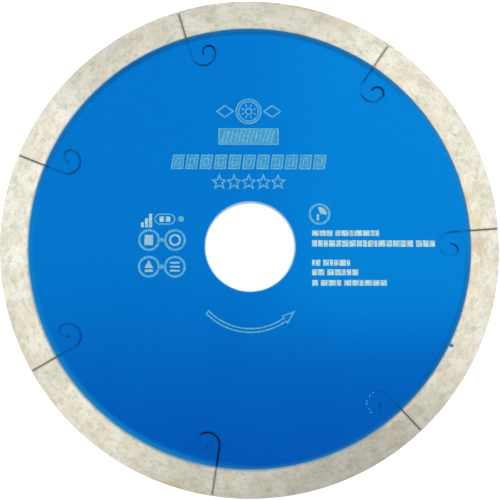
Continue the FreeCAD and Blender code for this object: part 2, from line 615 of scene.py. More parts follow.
@dataclass(frozen=True)
class SinteredRim:
    """Matte cream bond: mottled, speckled, stained; slot walls darkened by laser heat and painted
    shade.
    """

    sizes: DiscSizes
    cream: Colour = (0.82, 0.785, 0.655)
    chalk: Colour = (0.91, 0.89, 0.80)
    stone: Colour = (0.57, 0.545, 0.455)
    speck: Colour = (0.40, 0.375, 0.31)
    rust: Colour = (0.60, 0.42, 0.21)
    ochre: Colour = (0.84, 0.65, 0.33)
    burnt_and_shaded: Colour = (0.030, 0.028, 0.025)
    scorched_and_shaded: Colour = (0.085, 0.078, 0.068)
    singed: Colour = (0.20, 0.19, 0.175)
    splash: Colour = (0.02, 0.20, 0.50)
    lip_paint: Colour = (0.11, 0.35, 0.53)
    lip_mist: Colour = (0.03, 0.30, 0.55)
    warm: Colour = (1.0, 0.980, 0.955)
    cool: Colour = (0.985, 0.995, 0.975)
    roughness: float = 0.82
    clumps: tuple[Point, ...] = ((2.0, 0.34), (0.9, 0.42))
    specks: tuple[Point, ...] = ((2.8, 0.38), (1.6, 0.14))
    singed_beside_slot: Point = (0.15, 0.75)
    mist_past_lip: float = 0.62
    mist_lean: float = 0.0025

    def stretches(self) -> tuple[Stretch, ...]:
        """Stretches of the ring that are made greyer or paler.

        Returns:
            The stretches.
        """
        return (
            Stretch(104.0, 26.0, 48.0, (0.84, 0.84, 0.85)),
            Stretch(278.0, 20.0, 50.0, (0.77, 0.775, 0.78)),
            Stretch(300.0, 10.0, 40.0, (0.79, 0.785, 0.79)),
            Stretch(211.0, 1.0, 8.0, (0.92, 0.92, 0.92)),
            Stretch(165.0, 18.0, 30.0, (1.06, 1.07, 1.11)),
            Stretch(9.0, 13.0, 26.0, (1.03, 1.03, 1.04)),
        )

    def marks(self) -> tuple[Mark, ...]:
        """Stains beside the first slot and along both edges, and a splash of enamel on the lip.

        Returns:
            The marks.
        """
        return (
            Mark(0.6, 57.3, 3.4, 2.4, self.rust, 0.50),
            Mark(7.0, 57.2, 3.2, 2.0, self.ochre, 0.42),
            Mark(351.0, 56.5, 8.0, 0.9, self.ochre, 0.30),
            Mark(12.0, 55.8, 5.2, 0.6, self.ochre, 0.60),
            Mark(30.0, 55.6, 11.0, 0.42, self.ochre, 0.30),
            Mark(50.0, 55.7, 7.0, 0.5, self.ochre, 0.30),
            Mark(67.0, 61.9, 2.6, 0.7, self.ochre, 0.45),
            Mark(77.5, 62.3, 5.2, 0.8, self.rust, 0.42),
            Mark(252.0, 62.3, 5.0, 0.9, self.rust, 0.50),
            Mark(258.5, 62.3, 2.0, 0.8, self.rust, 0.50),
            Mark(309.5, 56.0, 3.4, 0.6, self.ochre, 0.60),
            Mark(316.0, 56.1, 2.6, 0.7, self.ochre, 0.50),
            Mark(333.8, 55.8, 0.60, 0.80, self.splash, 1.0),
        )

    def material(self) -> bpy.types.Material:
        """Makes the finish.

        Returns:
            The material.
        """
        material, graph = NodeGraph.of_material("sintered_rim")
        spot = DiscPlace(graph)
        tone = self.mottle(spot)
        ragged = graph.noise(spot.place, 1.1, 3.0, 0.6)
        for stretch in self.stretches():
            tone = graph.mix(spot.reach(stretch), tone, stretch.tint, "MULTIPLY")
        for mark in self.marks():
            tone = graph.mix(spot.mask(mark, ragged), tone, mark.colour)
        tone = self.lip(spot, tone)
        tone = graph.mix(self.heated(spot), tone, self.singed)
        # Painted shade: the slot walls darken towards the bottom of the slot, over their laser burn.
        cut = graph.mix(graph.span(spot.height, -0.1, 0.7), self.burnt_and_shaded, self.scorched_and_shaded)
        tone = graph.mix(graph.math("MULTIPLY", spot.across_slot(), 0.93), tone, cut)
        grain = graph.noise(spot.place, 0.18, 4.0, 0.65)
        fine = graph.bump(grain, 0.08 * MM)
        coarse = graph.bump(graph.noise(spot.place, 0.7, 2.0), 0.05 * MM, fine)
        graph.surface(
            Base_Color=tone,
            Roughness=graph.span(grain, 0.3, 0.7, self.roughness - 0.12, self.roughness + 0.1),
            Specular_IOR_Level=0.3,
            Diffuse_Roughness=0.5,
            Normal=coarse,
        )
        return material

    def mottle(self, spot: DiscPlace) -> Socket:
        """Colour of the clean bond: clouds, pale and grey clumps, specks, and grime in the pits.

        Args:
            spot: Place on the disc.

        Returns:
            The colour.
        """
        graph = spot.graph
        clouds = graph.span(graph.noise(spot.place, 5.0, 2.0), 0.36, 0.64)
        tone = graph.mix(clouds, self.cream, self.chalk)
        loose = graph.warped(spot.place, 1.1, 0.7)
        for grain, share in self.clumps:
            clumps = graph.noise(spot.drawn_round(1.8), grain, 2.0, 0.5)
            tone = graph.mix(graph.span(clumps, 0.48, 0.68, 0.0, share), tone, self.stone)
        pale = graph.span(graph.noise(loose, 1.2, 2.0, 0.6), 0.52, 0.68, 0.0, 0.70)
        tone = graph.mix(pale, tone, self.chalk)
        hue = graph.span(graph.noise(loose, 4.6, 1.0), 0.38, 0.62)
        tone = graph.mix(1.0, tone, graph.mix(hue, self.warm, self.cool), "MULTIPLY")
        for spacing, share in self.specks:
            distance, chance = graph.cells(loose, spacing)
            picked = graph.span(chance, 0.62, 0.72)
            speck = graph.span(distance, 0.04, 0.42, share, 0.0)
            tone = graph.mix(graph.math("MULTIPLY", speck, picked), tone, self.speck)
        pit = graph.node("ShaderNodeAttribute", attribute_name=HOLLOW)
        tone = graph.mix(graph.span(pit.outputs["Fac"], 0.0, 1.0, 0.0, 0.12), tone, self.speck)
        dust = graph.span(graph.noise(spot.place, 0.28, 2.0, 0.7), 0.55, 0.75, 0.0, 0.15)
        tone = graph.mix(dust, tone, self.speck)
        return graph.mix(graph.span(spot.radius, 58.0, 61.5, 0.0, 0.1), tone, self.stone)

    def heated(self, spot: DiscPlace) -> Socket:
        """How much the heat of cutting darkened the bond beside each slot.

        Args:
            spot: Place on the disc.

        Returns:
            The share, from 0 to 1.
        """
        graph, sizes = spot.graph, self.sizes
        turn = graph.math("SUBTRACT", graph.math("ARCTAN2", spot.north, spot.east),
                          sizes.first_slot_angle)
        slots = graph.math("DIVIDE", turn, sizes.slot_pitch)
        arc = graph.math("MULTIPLY", graph.math("PINGPONG", slots, 0.5), sizes.slot_pitch)
        ragged = graph.math("MULTIPLY", graph.noise(spot.place, 0.9, 2.0), 0.16)
        aside = graph.math("ADD", graph.math("MULTIPLY", arc, spot.radius), ragged)
        return graph.span(aside, *self.singed_beside_slot, 0.55, 0.0)

    def lip(self, spot: DiscPlace, tone: Socket) -> Socket:
        """Lip misted with enamel, which covers its inner wall.

        Args:
            spot: Place on the disc.
            tone: Colour of the bond.

        Returns:
            The colour with the lip's.
        """
        graph = spot.graph
        lip = self.sizes.lip_radius / MM
        creep = graph.math("MULTIPLY", graph.noise(spot.place, 1.4, 2.0), 0.22)
        edge = graph.math("SUBTRACT", graph.math("ADD", spot.radius, 0.09), creep)
        across = graph.math("ADD", spot.north, spot.east)
        leaning = graph.math("ADD", edge, graph.math("MULTIPLY", across, self.mist_lean))
        mist = graph.span(leaning, lip - 0.10, lip + self.mist_past_lip, 0.75, 0.0)
        tone = graph.mix(mist, tone, self.lip_mist)
        return graph.mix(graph.span(edge, lip - 0.09, lip + 0.01, 1.0, 0.0), tone, self.lip_paint)


@dataclass(frozen=True)
class DiamondGritFinish:
    """Grey-green industrial diamond, glossy on its facets."""

    pale: Colour = (0.72, 0.69, 0.55)
    dark: Colour = (0.47, 0.45, 0.36)

    def material(self) -> bpy.types.Material:
        """Makes the finish.

        Returns:
            The material.
        """
        material, graph = NodeGraph.of_material("diamond_grit")
        spot = DiscPlace(graph)
        _, chance = graph.cells(spot.place, 0.6)
        hazy = graph.noise(spot.place, 0.08, 2.0)
        tone = graph.mix(graph.span(chance, 0.2, 0.8), self.dark, self.pale)
        graph.surface(
            Base_Color=graph.mix(graph.span(hazy, 0.4, 0.7, 0.0, 0.4), tone, self.pale),
            Roughness=graph.span(hazy, 0.3, 0.7, 0.12, 0.4),
            IOR=2.0,
        )
        return material


@dataclass(frozen=True)
class PrintInk:
    """Thin pale printing ink through which some enamel shows."""

    name: str
    full: Colour
    thin: Colour

    def material(self) -> bpy.types.Material:
        """Makes the finish.

        Returns:
            The material.
        """
        material, graph = NodeGraph.of_material(self.name)
        spot = DiscPlace(graph)
        cover = graph.span(graph.noise(spot.place, 0.45, 3.0, 0.6), 0.38, 0.62)
        speckle = graph.noise(spot.place, 0.12, 2.0)
        graph.surface(
            Base_Color=graph.mix(cover, self.thin, self.full),
            Roughness=graph.span(speckle, 0.3, 0.7, 0.5, 0.62),
            Specular_IOR_Level=0.3,
            Normal=graph.bump(speckle, 0.004 * MM),
        )
        return material


@dataclass(frozen=True)
class RidgeHighlightPaint:
    """Enamel at a slot's edge, made pale as a painted highlight on raised paint."""

    enamel: BlueEnamel
    # Painted highlight: the paler colour that the raised paint takes.
    pale: Colour = (0.10, 0.42, 0.70)

    def material(self) -> bpy.types.Material:
        """Makes the finish.

        Returns:
            The material.
        """
        material, graph = NodeGraph.of_material("ridge_highlight_paint")
        spot = DiscPlace(graph)
        patches = graph.noise(spot.place, 0.6, 2.0)
        # Painted highlight: the enamel is mixed towards the pale colour in patches.
        cover = graph.span(patches, 0.35, 0.65, 0.3, 0.9)
        graph.surface(
            Base_Color=graph.mix(cover, self.enamel.coat(spot), self.pale),
            Roughness=graph.span(patches, 0.3, 0.7, 0.35, 0.5),
            Specular_IOR_Level=0.3,
            Specular_Tint=self.enamel.sheen,
            Normal=graph.bump(graph.noise(spot.place, 0.3), 0.01 * MM),
        )
        return material


def finish_mesh(name: str, points: object, faces: object, material: bpy.types.Material,
                sharp_over: float = math.radians(40.0)) -> bpy.types.Object:
    """Makes a shaded object of points and faces, with large faces cut into triangles.

    Args:
        name: Name of the piece.
        points: Its points, in metres.
        faces: Its faces, as rows of point numbers.
        material: Its finish.
        sharp_over: Edges that bend by more than this stay sharp.

    Returns:
        The object, in the scene.
    """
    mesh = bpy.data.meshes.new(name)
    mesh.from_pydata(points, [], faces)
    work = bmesh.new()
    work.from_mesh(mesh)
    bmesh.ops.triangulate(work, faces=[face for face in work.faces if len(face.verts) > 4])
    work.to_mesh(mesh)
    work.free()
    mesh.materials.append(material)
    mesh.shade_smooth()
    mesh.set_sharp_from_angle(angle=sharp_over)
    piece = bpy.data.objects.new(name, mesh)
    bpy.context.scene.collection.objects.link(piece)
    return piece


def join_disc(piece: bpy.types.Object) -> bpy.types.Object:
    """Makes a piece part of the disc's one body."""
    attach(piece, BODY)
    return piece


@dataclass(frozen=True)
class GrainField:
    """Seeded noise over a flat strip, from 0 to 1."""

    seed: int
    cell: float

    def sample(self, along: np.ndarray, across: np.ndarray) -> np.ndarray:
        """Reads the noise.

        Args:
            along: Distances along the strip, none below 0.
            across: Distances across it, none below 0.

        Returns:
            The noise at each point.
        """
        column, row = along / self.cell, across / self.cell
        left, low = column.astype(int), row.astype(int)
        lattice = np.random.default_rng(self.seed).random((left.max() + 2, low.max() + 2))
        ease_x, ease_y = (part * part * (3 - 2 * part) for part in (column - left, row - low))
        bottom = lattice[left, low] * (1 - ease_x) + lattice[left + 1, low] * ease_x
        top = lattice[left, low + 1] * (1 - ease_x) + lattice[left + 1, low + 1] * ease_x
        return bottom * (1 - ease_y) + top * ease_y


@dataclass(frozen=True)
class RimSection:
    """Outline of the rim's fork-shaped section, walked once round from the front lip."""

    radii: np.ndarray
    heights: np.ndarray
    normals: np.ndarray
    relief: np.ndarray
    walked: np.ndarray

    @classmethod
    def of_rim(cls, sizes: DiscSizes, spacing: float) -> "RimSection":
        """Divides the section's edges.

        Args:
            sizes: Sizes of the disc.
            spacing: Greatest distance between neighbouring points of an open face.

        Returns:
            The section.
        """
        lip, disc, tongue = (sizes.lip_radius, sizes.disc_radius,
                             sizes.lip_radius + sizes.tongue_length)
        front = [
            (lip, sizes.half_tongue),
            (lip, sizes.half_rim - sizes.lip_bevel),
            (lip + sizes.lip_bevel, sizes.half_rim),
            (disc - sizes.rim_corner_bevel, sizes.half_rim),
            (disc, sizes.half_rim - sizes.rim_corner_bevel),
        ]
        corners = front + [(radius, -height) for radius, height in reversed(front)]
        corners += [(tongue, -sizes.half_tongue), (tongue, sizes.half_tongue)]
        open_edges = len(corners) - 4
        points, normals, relief = [], [], []
        for index, start in enumerate(corners):
            end = corners[(index + 1) % len(corners)]
            run, rise = end[0] - start[0], end[1] - start[1]
            length = math.hypot(run, rise)
            shown = 0 < index < open_edges
            count = max(1, round(length / spacing)) if shown else 1
            for step in range(count):
                points.append((start[0] + run * step / count, start[1] + rise * step / count))
                normals.append((-rise / length, run / length))
                relief.append(float(shown) if step else 0.4 * shown)
        radii, heights = np.array(points).T
        steps = np.hypot(np.diff(radii), np.diff(heights))
        return cls(radii, heights, np.array(normals), np.array(relief),
                   np.concatenate([[0.0], np.cumsum(steps)]))


@dataclass
class RimSegments:
    """The seven sintered arcs: their grainy surface and the diamonds held in it."""

    sizes: DiscSizes
    bond: bpy.types.Material
    diamond: bpy.types.Material
    spacing: float = 0.155 * MM
    relief_cells: tuple[float, ...] = (1.4 * MM, 0.5 * MM, 0.24 * MM)
    relief_layer: float = 0.024 * MM
    pit_depth: float = 0.10 * MM
    pit_radii: Point = (0.20 * MM, 0.38 * MM)
    pits_per_square: float = 0.62 / MM ** 2
    held_share: float = 0.8
    grit_radii: Point = (0.11 * MM, 0.18 * MM)
    crystal_cube: float = 1.15
    crystal_cut: float = 0.33
    section: RimSection = field(init=False)

    def __post_init__(self) -> None:
        """Divides the section that all segments share."""
        self.section = RimSection.of_rim(self.sizes, self.spacing)

    def build(self) -> list[bpy.types.Object]:
        """Makes every segment with its grit.

        Returns:
            The pieces.
        """
        pieces = []
        for index in range(self.sizes.slot_count):
            chance = np.random.default_rng(100 + index)
            sites = self.pit_sites(chance)
            pieces.append(self.segment(index, sites))
            pieces.append(self.grit(index, sites, chance))
        return pieces

    def arc_length(self) -> float:
        """Length of a segment along the disc's edge."""
        return self.sizes.slot_pitch * self.sizes.disc_radius

    def pit_sites(self, chance: np.random.Generator) -> np.ndarray:
        """Scatters pits over the open faces of one segment.

        Args:
            chance: Seeded random numbers.

        Returns:
            For each pit, its place along the edge and round the section, and its radius.
        """
        shown = self.section.walked[self.section.relief > 0.5]
        low, high = shown.min(), shown.max()
        count = int(self.pits_per_square * self.arc_length() * (high - low))
        margin = max(self.pit_radii)
        along = chance.uniform(margin, self.arc_length() - margin, count)
        return np.column_stack([along, chance.uniform(low, high, count),
                                chance.uniform(*self.pit_radii, count)])

    def relief(self, index: int, along: np.ndarray, walked: np.ndarray,
               sites: np.ndarray) -> tuple[np.ndarray, np.ndarray]:
        """Depth of the surface below the solid's.

        Args:
            index: Number of the segment, from 0.
            along: Place of each grid point along the edge.
            walked: Its place round the section.
            sites: The pits.

        Returns:
            The depth at each grid point, and how far into a pit it is, from 0 to 1.
        """
        depth = np.zeros_like(walked)
        for seed, cell in enumerate(self.relief_cells, 1000 + 10 * index):
            depth += self.relief_layer * GrainField(seed, cell).sample(along, walked)
        hollow = np.zeros_like(depth)
        columns = np.searchsorted(along[0], sites[:, 0])
        reach = int(max(self.pit_radii) / self.spacing) + 2
        for (place, round_section, radius), column in zip(sites, columns):
            near = slice(max(0, column - reach), column + reach)
            apart = np.hypot(along[:, near] - place, walked[:, near] - round_section)
            bowl = np.clip(1 - apart / radius, 0, 1)
            hollow[:, near] = np.maximum(hollow[:, near], bowl * (2 - bowl))
        return np.maximum(depth, self.pit_depth * hollow), hollow

    def segment(self, index: int, sites: np.ndarray) -> bpy.types.Object:
        """Makes one segment's mesh, from slot to slot.

        Args:
            index: Number of the segment, from 0.
            sites: Its pits.

        Returns:
            The piece, which stands for the CAD segment.
        """
        section = self.section
        steps = round(self.arc_length() / self.spacing)
        share = np.linspace(0.0, 1.0, steps + 1)
        along, walked = np.meshgrid(share * self.arc_length(), section.walked)
        depth, hollow = self.relief(index, along, walked, sites)
        depth *= section.relief[:, None]
        radius = section.radii[:, None] - section.normals[:, :1] * depth
        height = section.heights[:, None] - section.normals[:, 1:] * depth
        kerf = np.arcsin(self.sizes.slot_width / 2 / section.radii)[:, None]
        angle = self.sizes.slot_angle(index) + kerf + share * (self.sizes.slot_pitch - 2 * kerf)
        points = np.stack([radius * np.cos(angle), radius * np.sin(angle), height], axis=-1)
        numbers = np.arange(points.shape[0] * (steps + 1)).reshape(-1, steps + 1)
        following = np.roll(numbers, -1, axis=0)
        quads = np.stack([numbers[:, :-1], following[:, :-1], following[:, 1:], numbers[:, 1:]],
                         axis=-1).reshape(-1, 4)
        ends = [numbers[::-1, 0].tolist(), numbers[:, -1].tolist()]
        name = f"rim_segment_{index + 1}"
        piece = finish_mesh(f"{name}_bond", points.reshape(-1, 3).tolist(),
                            quads.tolist() + ends, self.bond)
        layer = piece.data.attributes.new(HOLLOW, "FLOAT", "POINT")
        layer.data.foreach_set("value", hollow.ravel())
        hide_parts(name)
        return join_disc(piece)

    def grit(self, index: int, sites: np.ndarray, chance: np.random.Generator) -> bpy.types.Object:
        """Makes the diamonds of one segment, each in a pit with its tip at the solid's surface.

        Args:
            index: Number of the segment, from 0.
            sites: Its pits.
            chance: Seeded random numbers.

        Returns:
            The piece.
        """
        crystal = bmesh.new()
        bmesh.ops.create_cube(crystal, size=self.crystal_cube)
        bmesh.ops.bevel(crystal, geom=crystal.verts[:], offset=self.crystal_cut,
                        affect="VERTICES")
        corners = np.array([corner.co for corner in crystal.verts])
        corners /= np.linalg.norm(corners, axis=1).max()
        facets = [[corner.index for corner in face.verts] for face in crystal.faces]
        crystal.free()
        section = self.section
        points, faces = [], []
        for place, walked, _ in sites[: int(len(sites) * self.held_share)]:
            size = chance.uniform(*self.grit_radii)
            station = min(np.searchsorted(section.walked, walked), len(section.radii) - 1)
            out = section.normals[station]
            radius = min(section.radii[station] - out[0] * size, self.sizes.disc_radius - size)
            room = self.sizes.half_rim - size
            height = min(room, max(-room, section.heights[station] - out[1] * size))
            angle = self.sizes.slot_angle(index) + place / self.sizes.disc_radius
            centre = Vector((radius * math.cos(angle), radius * math.sin(angle), height))
            turn = Matrix.Rotation(chance.uniform(0, math.tau), 3, Vector(chance.normal(size=3)))
            first = len(points)
            points += [tuple(centre + turn @ Vector(corner) * size) for corner in corners]
            faces += [[first + number for number in facet] for facet in facets]
        piece = finish_mesh(f"diamond_grit_{index + 1}", points, faces, self.diamond,
                            math.radians(20.0))
        return join_disc(piece)


@dataclass(frozen=True)
class HookPath:
    """Centre line of one relief slot, from the rim's lip in to the hole where it was started."""

    sizes: DiscSizes
    index: int

    @property
    def lengths(self) -> Triple:
        """Lengths of the straight run, the bend and the curl."""
        return (self.sizes.hook_inset, math.pi * self.sizes.bend_radius,
                math.pi * self.sizes.curl_radius)

    @property
    def length(self) -> float:
        """Length of the whole path."""
        return sum(self.lengths)

    def at(self, distance: float, aside: float = 0.0) -> Point:
        """Point of the slot, in the disc's plane.

        Args:
            distance: Distance from the lip along the slot.
            aside: Distance from its centre line towards the hook's inside.

        Returns:
            The point.
        """
        straight, bend, _ = self.lengths
        turn = self.sizes.lip_radius - self.sizes.hook_inset
        if distance < straight:
            outward, across = self.sizes.lip_radius - distance, -aside
        elif distance < straight + bend:
            swung = (distance - straight) / self.sizes.bend_radius
            reach = self.sizes.bend_radius - aside
            outward = turn - reach * math.sin(swung)
            across = -self.sizes.bend_radius + reach * math.cos(swung)
        else:
            swung = (distance - straight - bend) / self.sizes.curl_radius
            reach = self.sizes.curl_radius - aside
            outward = turn + reach * math.sin(swung)
            across = self.sizes.curl_radius - 2 * self.sizes.bend_radius - reach * math.cos(swung)
        angle = self.sizes.slot_angle(self.index)
        return (outward * math.cos(angle) - across * math.sin(angle),
                outward * math.sin(angle) + across * math.cos(angle))


class ShadedStrips:
    """Gathers thin strips that run along a slot, with the painted shade at each of their points."""

    def __init__(self, path: HookPath) -> None:
        """Starts with no strip.

        Args:
            path: The slot's centre line.
        """
        self.path = path
        self.points: list[Triple] = []
        self.faces: list[list[int]] = []
        self.slot_shade: list[float] = []

    def add(self, along: np.ndarray, asides: np.ndarray, heights: np.ndarray, slot_shade: np.ndarray,
            thickness: float) -> None:
        """Adds one strip, closed on all sides.

        Args:
            along: Distances of its rows from the lip.
            asides: Distances of its strands from the centre line, the lowest first.
            heights: Height of each strand's top at each row.
            slot_shade: How dark its painted shade is there, from 0 to 1.
            thickness: How far its underside lies below.
        """
        rows = []
        for distance, tops, shade_amounts in zip(along, heights, slot_shade):
            upper = [(aside, top, shade_amount) for aside, top, shade_amount in zip(asides, tops, shade_amounts)]
            lower = [(aside, top - thickness, shade_amount) for aside, top, shade_amount in reversed(upper)]
            rows.append(list(range(len(self.points), len(self.points) + 2 * len(upper))))
            for aside, height, shade_amount in upper + lower:
                self.points.append((*self.path.at(distance, aside), height))
                self.slot_shade.append(shade_amount)
        ring = len(rows[0])
        for near, far in zip(rows, rows[1:]):
            self.faces += [[near[i], near[(i + 1) % ring], far[(i + 1) % ring], far[i]]
                           for i in range(ring)]
        self.faces += [rows[0][::-1], rows[-1]]

    def plug(self, radius: float, height: float, slot_shade: float, thickness: float) -> None:
        """Adds a round plug at the inner end of the path, a dark sheet of painted shade over the
        hole.

        Args:
            radius: Its radius.
            height: Height of its top.
            slot_shade: How dark its painted shade is.
            thickness: Its thickness.
        """
        outline = circle(self.path.at(self.path.length), radius, 20)
        first, count = len(self.points), len(outline)
        for level in (height - thickness, height):
            self.points += [(x, y, level) for x, y in outline]
        self.slot_shade += [slot_shade] * (2 * count)
        bottom = list(range(first, first + count))
        top = [number + count for number in bottom]
        self.faces += [bottom[::-1], top]
        self.faces += [[bottom[i], bottom[(i + 1) % count], top[(i + 1) % count], top[i]]
                       for i in range(count)]


@dataclass(frozen=True)
class SlotPaint:
    """Paint in the slots, darkened in and along them as painted shade, and painted highlights by one.
    """

    sizes: DiscSizes
    enamel: bpy.types.Material
    ridge_highlight_finish: bpy.types.Material
    step: float = 0.15 * MM
    overlap: float = 0.01 * MM
    thickness: float = 0.22 * MM
    film: float = 0.01 * MM
    # Strength of the painted shade on the films beside each slot.
    shade_amount: float = 0.62
    plug_radius: float = 0.31 * MM
    ridge_lift: float = 0.015 * MM
    ridge_width: float = 0.42
    small_patch_size: Point = (0.16, 0.12)
    ridge_spots: tuple[Triple, ...] = (
        (9.0, 0.10, 0.6),
        (10.2, 0.20, 0.9),
        (11.7, 0.05, 0.6),
        (12.5, 0.0, 0.8),
        (14.0, 0.20, 0.8),
        (15.0, 0.0, 0.8),
    )

    def darkness(self) -> tuple[tuple[Point, ...], ...]:
        """How dark each slot's painted shade is at some distances from the lip, in millimetres.

        Returns:
            For each slot, pairs of a distance and the darkness there, from 0 to 1.
        """
        return (
            ((0.4, 0.30), (1.6, 0.25), (3.0, 0.46), (5.0, 0.49), (6.4, 0.27), (8.0, 0.10),
             (11.0, 0.08), (11.7, 0.30), (12.2, 0.30), (12.8, 0.0), (14.2, 0.05), (15.4, 0.15),
             (16.8, 0.52), (17.6, 0.66)),
            ((0.5, 0.60), (1.8, 0.42), (3.4, 0.55), (4.8, 0.45), (6.2, 0.03), (7.2, 0.03),
             (8.2, 0.38), (10.2, 0.53), (11.8, 0.27), (13.0, 0.44), (14.4, 0.55), (15.2, 0.90),
             (18.0, 0.98), (19.2, 0.75)),
            ((0.5, 0.15), (3.4, 0.20), (6.0, 0.25), (8.0, 0.58), (10.4, 0.70), (11.4, 0.46),
             (13.0, 0.40), (14.6, 0.55), (15.8, 0.95), (16.8, 0.90), (17.8, 0.68)),
            ((0.4, 0.50), (2.2, 0.31), (4.6, 0.26), (7.2, 0.56), (11.4, 0.56), (13.8, 0.37),
             (15.0, 0.42), (16.4, 0.60), (17.6, 0.36), (18.6, 0.22), (19.3, 0.42)),
            ((0.4, 0.45), (2.4, 0.22), (3.6, 0.25), (4.0, 0.45), (4.6, 0.26), (6.4, 0.58),
             (8.4, 0.64), (10.0, 0.42), (12.8, 0.38), (13.8, 0.29), (15.6, 0.44), (16.8, 0.20),
             (18.4, 0.14), (19.3, 0.50)),
            ((0.4, 0.75), (2.4, 1.0), (6.6, 1.0), (7.4, 0.88), (11.4, 0.86), (12.2, 0.50),
             (12.8, 0.0), (17.6, 0.04), (18.4, 0.35)),
            ((0.5, 0.45), (1.6, 0.18), (2.6, 0.05), (5.6, 0.06), (7.0, 0.22), (8.2, 0.18),
             (9.2, 0.0), (16.8, 0.0), (17.8, 0.15), (18.6, 0.45)),
        )

    def build(self) -> list[bpy.types.Object]:
        """Makes the paint in each slot, and the pale patches of painted highlight.

        Returns:
            The pieces.
        """
        pieces = []
        for index, stations in enumerate(self.darkness()):
            strips = ShadedStrips(HookPath(self.sizes, index))
            # Paint run into the slot, darkened as painted shade, with painted shade beside it.
            self.fill(strips, np.array(stations), 10 * index)
            piece = finish_mesh(f"slot_paint_and_shade_{index + 1}", strips.points, strips.faces, self.enamel)
            layer = piece.data.attributes.new(SLOT_SHADE, "FLOAT", "POINT")
            layer.data.foreach_set("value", strips.slot_shade)
            pieces.append(join_disc(piece))
        return pieces + [self.ridge_highlights()]

    def fill(self, strips: ShadedStrips, stations: np.ndarray, seed: int) -> None:
        """Lays the paint in one slot, darkened as painted shade, and a film of painted shade along
        each edge.

        Args:
            strips: The slot's strips, which it adds to.
            stations: Distances from the lip in millimetres, with the darkness there.
            seed: Seed of the unevenness.
        """
        along = np.arange(0.05 * MM, strips.path.length, self.step)
        lumps = np.random.default_rng(seed).uniform(0.8, 1.2, len(along) // 4 + 2)
        wobble = np.interp(np.arange(len(along)) / 4, np.arange(len(lumps)), lumps)
        dark = np.interp(along / MM, *stations.T)
        depth = np.interp(dark, (0.0, 0.6, 0.85), (0.03, 0.17, 0.5)) * MM * wobble
        slot_shade = np.interp(dark, (0.2, 0.9), (0.0, 1.0))
        half = self.sizes.slot_width / 2 + self.overlap
        tops = self.sizes.half_core - depth
        strips.add(along, np.array([-half, half]), np.stack([tops] * 2, axis=1),
                   np.stack([slot_shade] * 2, axis=1), self.thickness)
        strands = half + np.array([-0.01, 0.09, 0.21, 0.41]) * MM
        lift = self.sizes.half_core + np.array([1.0, 1.0, 0.7, -0.3]) * self.film
        fade = np.array([1.0, 0.8, 0.35, 0.0]) * self.shade_amount
        for side in (-1, 1):
            strips.add(along, (side * strands)[::side], np.tile(lift[::side], (len(along), 1)),
                       np.outer(np.clip(dark * wobble, 0.0, 1.0), fade[::side]), 2 * self.film)
        # A dark plug of painted shade over the open hole at the slot's end.
        strips.plug(self.plug_radius, tops[-1], slot_shade[-1], self.thickness)

    def ridge_highlights(self) -> bpy.types.Object:
        """Painted highlight: pale raised paint along the inside of the last hook, with small bits
        round it.

        Returns:
            The piece.
        """
        chance = np.random.default_rng(7)
        film = RaisedFilm(self.sizes.half_core, self.ridge_lift)
        for distance, aside, length in self.ridge_spots:
            film.patch(self.ridge_patch(chance, distance, aside, length, self.ridge_width))
            for _ in range(2):
                film.patch(self.ridge_patch(chance, distance + chance.uniform(-0.7, 0.7),
                                      aside + chance.choice([-0.45, 0.35]), *self.small_patch_size))
        return join_disc(film.piece("paint_ridge_highlights", self.ridge_highlight_finish))

    def ridge_patch(self, chance: np.random.Generator, distance: float, aside: float, length: float,
              width: float) -> list[Point]:
        """Jagged outline of one pale patch that lies along the last slot's hook, in millimetres.

        Args:
            chance: Seeded random numbers.
            distance: Where its middle is along the slot.
            aside: How far that is towards the hook's inside.
            length: Its length.
            width: Its width.

        Returns:
            The outline, in metres and anticlockwise.
        """
        path = HookPath(self.sizes, self.sizes.slot_count - 1)
        corners = 11
        outline = []
        for number, spoke in enumerate(chance.uniform(0.6, 1.1, corners)):
            turn = math.tau * number / corners
            along = distance + spoke * length / 2 * math.cos(turn)
            across = aside + spoke * width / 2 * math.sin(turn)
            outline.append(path.at(along * MM, across * MM))
        return outline


def polar(middle: Point, radius: float, angle: float) -> Point:
    """Point at a distance and a direction from another."""
    return (middle[0] + radius * math.cos(angle), middle[1] + radius * math.sin(angle))


def arc(middle: Point, radius: float, start: float, end: float, count: int) -> list[Point]:
    """Points along an arc from one angle to another, both ends among them."""
    angles = [start + (end - start) * number / (count - 1) for number in range(count)]
    return [polar(middle, radius, angle) for angle in angles]


def circle(middle: Point, radius: float, count: int = 64) -> list[Point]:
    """Points round a circle, anticlockwise."""
    return arc(middle, radius, 0.0, math.tau * (count - 1) / count, count)


def box_outline(left: float, right: float, low: float, high: float,
                slant: float = 0.0) -> list[Point]:
    """Corners of a box whose top may lean to the right, anticlockwise."""
    return [(left, low), (right, low), (right + slant, high), (left + slant, high)]


def widened(outline: list[Point], distance: float) -> list[Point]:
    """Moves an anticlockwise outline outwards by an even distance, with mitred corners.

    Args:
        outline: Its points.
        distance: How far, or inwards where negative.

    Returns:
        The moved points.
    """
    moved = []
    for before, here, after in zip(outline[-1:] + outline[:-1], outline, outline[1:] + outline[:1]):
        normals = []
        for start, end in ((before, here), (here, after)):
            run, rise = end[0] - start[0], end[1] - start[1]
            length = math.hypot(run, rise)
            normals.append((rise / length, -run / length))
        across = (normals[0][0] + normals[1][0], normals[0][1] + normals[1][1])
        scale = 2 * distance / max(across[0] ** 2 + across[1] ** 2, 0.35)
        moved.append((here[0] + across[0] * scale, here[1] + across[1] * scale))
    return moved


